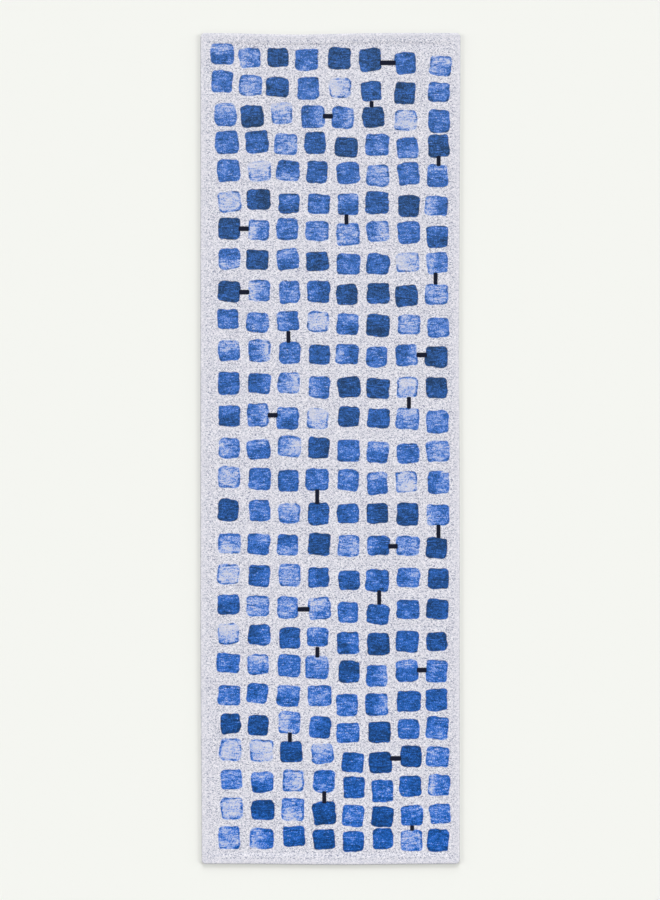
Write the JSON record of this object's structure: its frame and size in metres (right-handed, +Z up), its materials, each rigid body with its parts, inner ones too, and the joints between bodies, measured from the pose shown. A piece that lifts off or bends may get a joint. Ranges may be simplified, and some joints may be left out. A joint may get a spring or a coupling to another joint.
{
  "type": "runner rug",
  "caption": "Long narrow woven runner rug with hemmed edges, a painted-look squares pattern and an anti-slip felt backing.",
  "frame": {"origin": "middle of the underside, on the floor", "axes": "+X across the rug's width, +Y along its length towards the head end, +Z up through the face"},
  "size_m": [0.762, 2.438, 0.0054],
  "materials": {
    "face_yarn": "flat jacquard weave, matt, pale lavender grey with blue squares",
    "backing_felt": "needled felt, matt grey",
    "grip_print": "printed dots, slightly glossy",
    "hem_thread": "polyester sewing thread, soft sheen",
    "overlock_thread": "bulked overlock thread, matt",
    "label_tape": "blank woven tape, soft satin"
  },
  "bodies": {
    "root": {"face_cloth": "face_yarn", "backing": "backing_felt", "needle_thread_left": "hem_thread", "needle_thread_right": "hem_thread", "needle_thread_head": "hem_thread", "needle_thread_foot": "hem_thread", "bobbin_thread_left": "hem_thread", "bobbin_thread_right": "hem_thread", "bobbin_thread_head": "hem_thread", "bobbin_thread_foot": "hem_thread", "overlock_left": "overlock_thread", "overlock_right": "overlock_thread", "overlock_head": "overlock_thread", "overlock_foot": "overlock_thread", "corner_stitch_head_left": "hem_thread", "corner_stitch_head_right": "hem_thread", "corner_stitch_foot_left": "hem_thread", "corner_stitch_foot_right": "hem_thread", "care_label": "label_tape", "label_thread_foot": "hem_thread", "label_thread_head": "hem_thread"}
  },
  "joints": []
}
